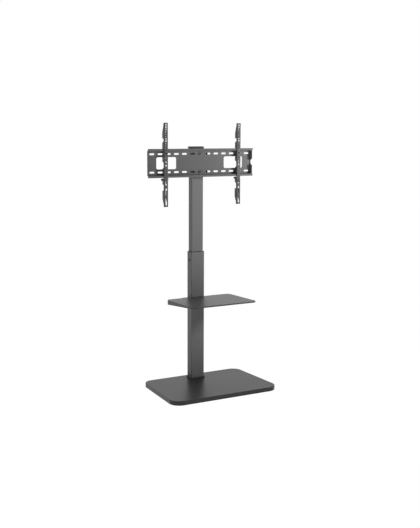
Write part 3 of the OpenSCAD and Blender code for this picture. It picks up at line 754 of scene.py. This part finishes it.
def clamp_bolt(length):
    """A hexagon bolt along z with its head up and the lower part of its shank threaded."""
    top = length / 2
    shank_l = length - BOLT_HEAD_H - BOLT_THREAD_L
    head = stand_at(hex_blank(BOLT_THREAD.flats, BOLT_HEAD_H), (0, 0, top - BOLT_HEAD_H / 2))
    shank = drum(BOLT_THREAD.diameter / 2, shank_l + 2 * SCREW_LAP, sides=32)
    stand_at(shank, (0, 0, top - BOLT_HEAD_H - shank_l / 2 + SCREW_LAP))
    combine(head, shank, "UNION")
    screwed = thread(BOLT_THREAD, BOLT_THREAD_L + 2 * GAP)
    return join([head, stand_at(screwed, (0, 0, -top + BOLT_THREAD_L / 2))])


# Shelf

SHELF_TILT = math.radians(1.8)
SHELF_R = 30 * MM
SHELF_SHEET = 2 * MM
SHELF_D = 308 * MM
SHELF_RIM = 1.5 * SHELF_SHEET
# The depth of the tray's edge at its back and at its front
SHELF_BACK_H = 26 * MM
SHELF_FRONT_H = 7 * MM
# The break in the edge at the back, with room for the bracket's back plate
SHELF_NOTCH_W = 151 * MM
SHELF_NOTCH_D = 18 * MM
# Room between the tray and the column
SHELF_GAP = 3 * GAP


def shelf_hardware():
    """The clamp's bolts and nuts, and the studs and nuts that hold the tray."""
    level = (0, 1, 0)
    upright = (0, math.sin(SHELF_TILT), math.cos(SHELF_TILT))
    bolt_l = box_of("shelf_clamp_bolts").size.y
    for node, axis, make in (
            ("shelf_clamp_bolts", level, lambda: clamp_bolt(bolt_l)),
            ("shelf_clamp_nuts", level, lambda: hex_nut(BOLT_THREAD, BOLT_NUT_H)),
            ("shelf_studs", upright, lambda: thread(STUD_THREAD, STUD_L)),
            ("shelf_nuts", upright, lambda: hex_nut(STUD_THREAD, STUD_NUT_H))):
        piece = join([stand_at(make(), place, axis) for place in centres_of(node)])
        smooth(piece, angle=25)
        dress(piece, node, "_turned")


def shelf_tray():
    """The tray, pressed from one sheet: flat on top, its edge shallower towards the front."""
    box = box_of("shelf_tray")
    width = box.size.x
    tray = rounded_slab(width, width, SHELF_D, (SHELF_R, SHELF_R), SHELF_BACK_H, segments=14)
    stand_at(tray, (0, -SHELF_D / 2, -SHELF_BACK_H))
    round_rims(tray, (0,), SHELF_RIM, segments=5)
    slope = (SHELF_BACK_H - SHELF_FRONT_H) / SHELF_D
    open_whole_mesh(tray)
    bpy.ops.mesh.bisect(plane_co=(0, 0, -SHELF_BACK_H), plane_no=(0, -slope, -1),
                        clear_outer=True)
    close_mesh()
    apply_modifier(tray, "SOLIDIFY", thickness=SHELF_SHEET, offset=-1, use_even_offset=True)
    notch = block(SHELF_NOTCH_W, SHELF_NOTCH_D, 4 * SHELF_BACK_H)
    stand_at(notch, (0, 0, -2 * SHELF_BACK_H - SHELF_SHEET))
    combine(tray, notch, "DIFFERENCE")
    back_y = box_of("lower_tube").low.y - SHELF_GAP
    top_z = box.low.z + box.size.z
    tray.rotation_mode = "XYZ"
    tray.rotation_euler.x = -SHELF_TILT
    tray.location = (0, back_y, top_z - (SHELF_D - SHELF_RIM) * math.sin(SHELF_TILT))
    settle(tray)
    smooth(tray)
    dress(tray, "shelf_tray", "_sheet")


# Weld seams

SEAM_SIDES = 12
SEAM_RIPPLE = 2.4 * MM
# How far a seam's rings are drawn in: every second one, and those at its ends
RING_SHARE = 0.8
END_SHARE = 0.5
# The seams on the mast: their length as a share of the bracket's, and how deep they sit
MAST_SEAM_R = 2.6 * MM
MAST_SEAM_SHARE = 0.36
MAST_SEAM_Y = 0.8 * MM
# The seams in the shelf bracket's corners: how far in from its side, its back and its lower edge
GUSSET_SEAM_R = 2 * MM
GUSSET_SEAM_L = 32 * MM
GUSSET_SEAM_X = 19.4 * MM
GUSSET_SEAM_Y = 3.6 * MM
GUSSET_SEAM_Z = 21 * MM


def weld_seam(length, radius):
    """A run of weld along z: a rod whose every second ring is drawn in."""
    rings = 2 * round(length / SEAM_RIPPLE)
    seam = drum(radius, length, sides=SEAM_SIDES)
    open_mesh(seam, "EDGE")
    select_where(seam, "edges",
                 lambda edge: abs(edge.verts[0].co.z - edge.verts[1].co.z) > TINY)
    bpy.ops.mesh.subdivide(number_cuts=rings - 1)
    select_where(seam, "verts",
                 lambda corner: round((corner.co.z / length + 0.5) * rings) % 2 == 0)
    bpy.ops.transform.resize(value=(RING_SHARE, RING_SHARE, 1))
    select_where(seam, "verts", lambda corner: abs(corner.co.z) > length / 2 - TINY)
    bpy.ops.transform.resize(value=(END_SHARE, END_SHARE, 1))
    close_mesh()
    return seam


def finish_seams(runs, name, body):
    seams = join(runs)
    smooth(seams, angle=60)
    finish_piece(seams, name, body, COAT)


def weld_seams():
    """Two runs up each side of the mast at the bracket, and one in each shelf gusset's corner."""
    tube = box_of("upper_tube")
    bracket = box_of("plate_bracket")
    reach = bracket.size.z
    finish_seams(
        [stand_at(weld_seam(MAST_SEAM_SHARE * reach, MAST_SEAM_R),
                  (side * tube.size.x / 2, tube.low.y + MAST_SEAM_Y,
                   bracket.middle.z + rise * reach / 4))
         for side in (-1, 1) for rise in (-1, 1)],
        "bracket_weld_seams", "mast")
    box = box_of("shelf_bracket")
    gusset_x = box.size.x / 2 - GUSSET_SEAM_X
    seam_y = box.low.y + box.size.y - GUSSET_SEAM_Y
    finish_seams(
        [stand_at(weld_seam(GUSSET_SEAM_L, GUSSET_SEAM_R),
                  (side * gusset_x, seam_y, box.low.z + GUSSET_SEAM_Z))
         for side in (-1, 1)],
        "gusset_weld_seams", "shelf")


# Pieces whose only change is that their edges are broken

EDGE_OF_NODE = {"mount_plate": 0.4 * MM, "left_arm": 0.35 * MM, "right_arm": 0.35 * MM,
                "plate_bracket": 0.5 * MM, "shelf_bracket": 0.5 * MM, "shelf_clamp_bar": 0.5 * MM,
                "spreader_plate": 0.5 * MM, "column_bush": 0.5 * MM, "clamp_screw": 0.3 * MM,
                "plate_washers": 0.2 * MM, "plate_bolts": 0.2 * MM, "foot_bolts": 0.2 * MM,
                "plate_standoffs": 0.3 * MM, "column_end_plate": 0.4 * MM,
                "mast_guide": 0.4 * MM, "clamp_pad": 0.2 * MM}


def break_edges():
    for node, edge in EDGE_OF_NODE.items():
        piece = copy_of_node(node)
        soften(piece, edge)
        smooth(piece)
        dress(piece, node, "_softened")


finish_nodes()
base_board()
foot_collar()
feet()
mast_cap()
arm_screws()
shelf_hardware()
shelf_tray()
weld_seams()
break_edges()


# Studio

# The floor: its size, how far it lies below the pads, its own tone and the strength of its glow
FLOOR_SIZE = 60
FLOOR_DROP = 0.0002
FLOOR_TONE = 0.6
FLOOR_GLOW = 1.18
# The share of that glow in the floor's look, and in the light that it throws on the stand
GLOW_SEEN = 0.85
GLOW_THROWN = 0.48


def seen_rays(tree):
    """1 for rays that show a surface, mirrored or not, and 0 for those that light others."""
    rays = tree.nodes.new("ShaderNodeLightPath")
    return math_node(tree, "MAXIMUM", rays.outputs["Is Camera Ray"],
                     math_node(tree, "MAXIMUM", rays.outputs["Is Glossy Ray"],
                               rays.outputs["Is Transmission Ray"]))


def white_world():
    """A plain white surround that is seen and mirrored but throws no light."""
    world = bpy.data.worlds.new("white_surround")
    world.use_nodes = True
    tree = world.node_tree
    ground = tree.nodes["Background"]
    ground.inputs["Color"].default_value = (1, 1, 1, 1)
    tree.links.new(seen_rays(tree), ground.inputs["Strength"])
    bpy.context.scene.world = world


def pale_floor():
    """The floor: a white glow, with enough plain matt surface in it to keep the stand's shadow."""
    bpy.ops.mesh.primitive_plane_add(size=FLOOR_SIZE, location=(0, 0, -FLOOR_DROP))
    floor = bpy.context.object
    floor.name = "floor"
    settle(floor)
    material = bpy.data.materials.new("pale_floor")
    material.use_nodes = True
    tree = material.node_tree
    tree.nodes.remove(tree.nodes["Principled BSDF"])
    matte = tree.nodes.new("ShaderNodeBsdfDiffuse")
    matte.inputs["Color"].default_value = (FLOOR_TONE, FLOOR_TONE, FLOOR_TONE, 1)
    glow = tree.nodes.new("ShaderNodeEmission")
    glow.inputs["Strength"].default_value = FLOOR_GLOW
    more = math_node(tree, "MULTIPLY", seen_rays(tree), GLOW_SEEN - GLOW_THROWN)
    mix = tree.nodes.new("ShaderNodeMixShader")
    tree.links.new(math_node(tree, "ADD", more, GLOW_THROWN), mix.inputs[0])
    tree.links.new(matte.outputs[0], mix.inputs[1])
    tree.links.new(glow.outputs[0], mix.inputs[2])
    tree.links.new(mix.outputs[0], tree.nodes["Material Output"].inputs["Surface"])
    floor.data.materials.append(material)


def soft_box(name, place, aim, width, height, power):
    """A soft rectangular lamp at a place, turned to a point."""
    light = bpy.data.lights.new(name, "AREA")
    light.shape = "RECTANGLE"
    light.size, light.size_y = width, height
    light.energy = power
    lamp = bpy.data.objects.new(name, light)
    bpy.context.scene.collection.objects.link(lamp)
    turn = (Vector(aim) - Vector(place)).to_track_quat("-Z", "Y").to_matrix().to_4x4()
    lamp.matrix_world = Matrix.Translation(Vector(place)) @ turn


bpy.context.scene.view_settings.view_transform = "Standard"
white_world()
pale_floor()
soft_box("right_light", (1.22, -0.9, 1.35), (0, 0.1, 1.0), width=0.4, height=0.4, power=18)
soft_box("corner_light", (-1.75, -0.87, 0.7), (0, 0.1, 0.7), width=0.3, height=1.0, power=3)

bpy.context.view_layer.update()
